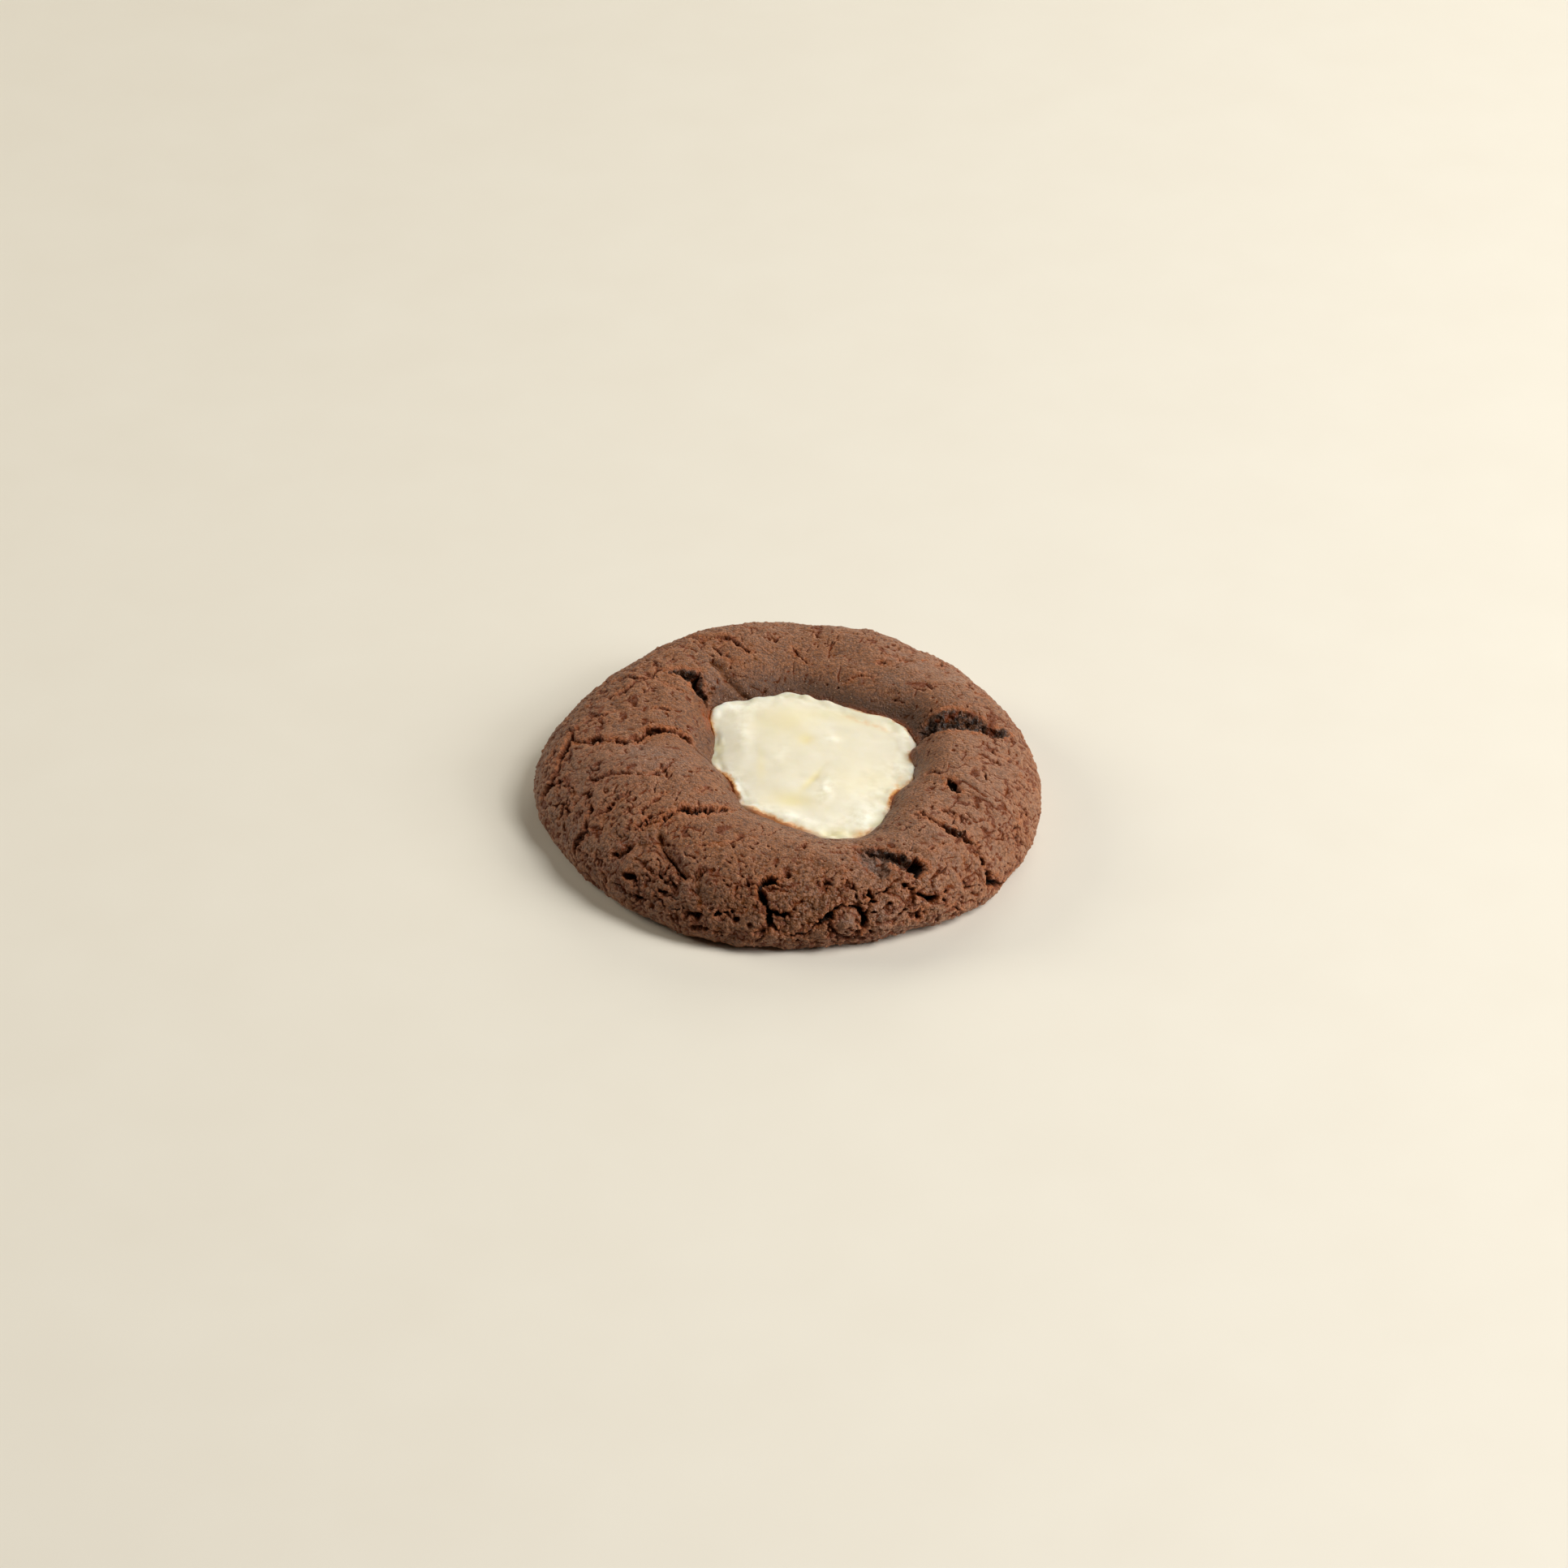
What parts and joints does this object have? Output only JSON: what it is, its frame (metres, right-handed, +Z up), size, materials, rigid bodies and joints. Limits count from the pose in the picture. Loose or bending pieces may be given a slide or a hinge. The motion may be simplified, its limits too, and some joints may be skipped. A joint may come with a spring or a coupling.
{
  "type": "chocolate cookie",
  "caption": "Round thick-rimmed chocolate cookie with a well in its middle, filled with pale baked cream cheese.",
  "frame": {"origin": "middle of the flat underside, at the height of what the cookie rests on", "axes": "+Z up, -Y towards the side that faces the viewer, +X to the viewer's right"},
  "size_m": [0.0884, 0.0866, 0.0159],
  "materials": {
    "baked_dough": "matt, finely cracked",
    "cream": "satin, moist"
  },
  "bodies": {
    "root": {"cookie": "baked_dough", "filling": "cream"}
  },
  "joints": []
}
